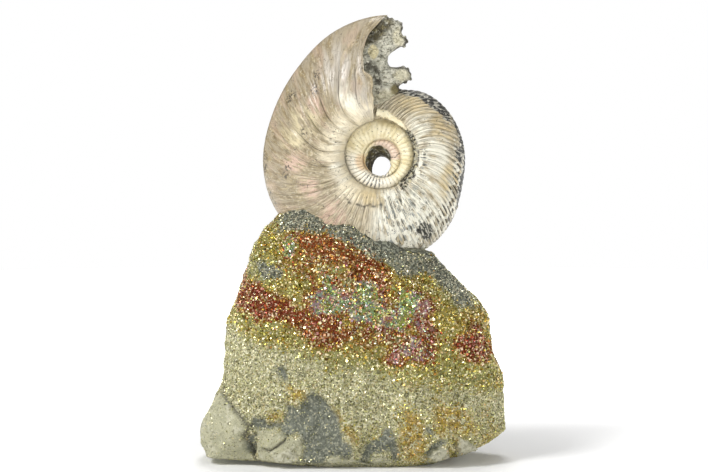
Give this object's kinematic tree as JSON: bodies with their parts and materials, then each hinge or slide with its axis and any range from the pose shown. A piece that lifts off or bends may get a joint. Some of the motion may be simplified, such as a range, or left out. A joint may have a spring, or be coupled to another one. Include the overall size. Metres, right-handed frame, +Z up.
{
  "type": "pyritized ammonite fossil on its stone",
  "caption": "Coiled, ribbed ammonite shell with a broken last chamber, standing on edge in its bed on a broad stone crusted with fine pyrite crystals.",
  "frame": {"origin": "on the flat patch under the stone, midway between the stone's left and right ends", "axes": "+Z up through the shell, +Y to the back, the shell's shown side faces -Y"},
  "size_m": [0.098, 0.0509, 0.1422],
  "materials": {
    "shell_nacre": "pearly, half gloss",
    "pyrite_crust": "sparkling metallic crystals over dull clay stone"
  },
  "bodies": {
    "root": {"ammonite": "shell_nacre", "pyrite_stone": "pyrite_crust"}
  },
  "joints": []
}
